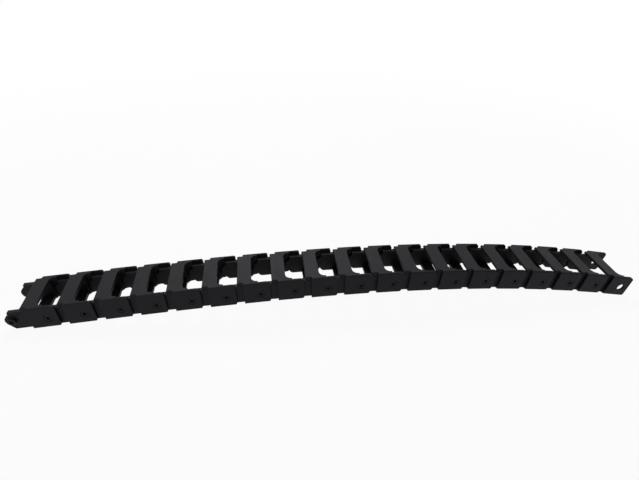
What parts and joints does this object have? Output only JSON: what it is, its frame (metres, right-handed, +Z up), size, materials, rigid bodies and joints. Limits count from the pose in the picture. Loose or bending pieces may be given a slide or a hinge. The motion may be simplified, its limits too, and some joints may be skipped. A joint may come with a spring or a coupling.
{
  "type": "cable drag chain",
  "caption": "Moulded plastic cable drag chain: rectangular links pinned end to end that carry cables and bend one way.",
  "frame": {"origin": "bottom centre of the chain as it lies, on the surface that its two end links rest on", "axes": "+X along the chain from the pin end to the bore end, +Y across it, +Z up"},
  "size_m": [0.5448, 0.042, 0.0404],
  "materials": {
    "nylon": "moulded black nylon, fine matt texture"
  },
  "bodies": {
    "link_01": {"link_01": "nylon"},
    "link_02": {"link_02": "nylon"},
    "link_03": {"link_03": "nylon"},
    "link_04": {"link_04": "nylon"},
    "link_05": {"link_05": "nylon"},
    "link_06": {"link_06": "nylon"},
    "link_07": {"link_07": "nylon"},
    "link_08": {"link_08": "nylon"},
    "link_09": {"link_09": "nylon"},
    "link_10": {"link_10": "nylon"},
    "link_11": {"link_11": "nylon"},
    "link_12": {"link_12": "nylon"},
    "link_13": {"link_13": "nylon"},
    "link_14": {"link_14": "nylon"},
    "link_15": {"link_15": "nylon"},
    "link_16": {"link_16": "nylon"},
    "link_17": {"link_17": "nylon"},
    "link_18": {"link_18": "nylon"},
    "link_19": {"link_19": "nylon"}
  },
  "joints": [
    {"name": "pivot_01", "type": "hinge", "parent": "link_01", "child": "link_02", "pos_m": [-0.23895, 0, 0.0118], "axis": [0, 1, 0], "range_deg": [0, 16]},
    {"name": "pivot_02", "type": "hinge", "parent": "link_02", "child": "link_03", "pos_m": [-0.21107, 0, 0.01443], "axis": [0, 1, 0], "range_deg": [0, 15.91]},
    {"name": "pivot_03", "type": "hinge", "parent": "link_03", "child": "link_04", "pos_m": [-0.18319, 0, 0.01698], "axis": [0, 1, 0], "range_deg": [0, 15.82]},
    {"name": "pivot_04", "type": "hinge", "parent": "link_04", "child": "link_05", "pos_m": [-0.15529, 0, 0.01938], "axis": [0, 1, 0], "range_deg": [0, 15.73]},
    {"name": "pivot_05", "type": "hinge", "parent": "link_05", "child": "link_06", "pos_m": [-0.12738, 0, 0.02161], "axis": [0, 1, 0], "range_deg": [0, 15.64]},
    {"name": "pivot_06", "type": "hinge", "parent": "link_06", "child": "link_07", "pos_m": [-0.09945, 0, 0.02362], "axis": [0, 1, 0], "range_deg": [0, 15.55]},
    {"name": "pivot_07", "type": "hinge", "parent": "link_07", "child": "link_08", "pos_m": [-0.07151, 0, 0.02536], "axis": [0, 1, 0], "range_deg": [0, 15.47]},
    {"name": "pivot_08", "type": "hinge", "parent": "link_08", "child": "link_09", "pos_m": [-0.04355, 0, 0.0268], "axis": [0, 1, 0], "range_deg": [0, 15.38]},
    {"name": "pivot_09", "type": "hinge", "parent": "link_09", "child": "link_10", "pos_m": [-0.01557, 0, 0.02789], "axis": [0, 1, 0], "range_deg": [0, 15.29]},
    {"name": "pivot_10", "type": "hinge", "parent": "link_10", "child": "link_11", "pos_m": [0.01242, 0, 0.02858], "axis": [0, 1, 0], "range_deg": [0, 15.2]},
    {"name": "pivot_11", "type": "hinge", "parent": "link_11", "child": "link_12", "pos_m": [0.04042, 0, 0.02884], "axis": [0, 1, 0], "range_deg": [0, 15.11]},
    {"name": "pivot_12", "type": "hinge", "parent": "link_12", "child": "link_13", "pos_m": [0.06842, 0, 0.02862], "axis": [0, 1, 0], "range_deg": [0, 15.03]},
    {"name": "pivot_13", "type": "hinge", "parent": "link_13", "child": "link_14", "pos_m": [0.09641, 0, 0.02787], "axis": [0, 1, 0], "range_deg": [0, 14.94]},
    {"name": "pivot_14", "type": "hinge", "parent": "link_14", "child": "link_15", "pos_m": [0.12438, 0, 0.02656], "axis": [0, 1, 0], "range_deg": [0, 14.85]},
    {"name": "pivot_15", "type": "hinge", "parent": "link_15", "child": "link_16", "pos_m": [0.15232, 0, 0.02464], "axis": [0, 1, 0], "range_deg": [0, 14.76]},
    {"name": "pivot_16", "type": "hinge", "parent": "link_16", "child": "link_17", "pos_m": [0.1802, 0, 0.02207], "axis": [0, 1, 0], "range_deg": [0, 14.67]},
    {"name": "pivot_17", "type": "hinge", "parent": "link_17", "child": "link_18", "pos_m": [0.20801, 0, 0.0188], "axis": [0, 1, 0], "range_deg": [0, 14.58]},
    {"name": "pivot_18", "type": "hinge", "parent": "link_18", "child": "link_19", "pos_m": [0.23572, 0, 0.01481], "axis": [0, 1, 0], "range_deg": [0, 14.5]}
  ]
}
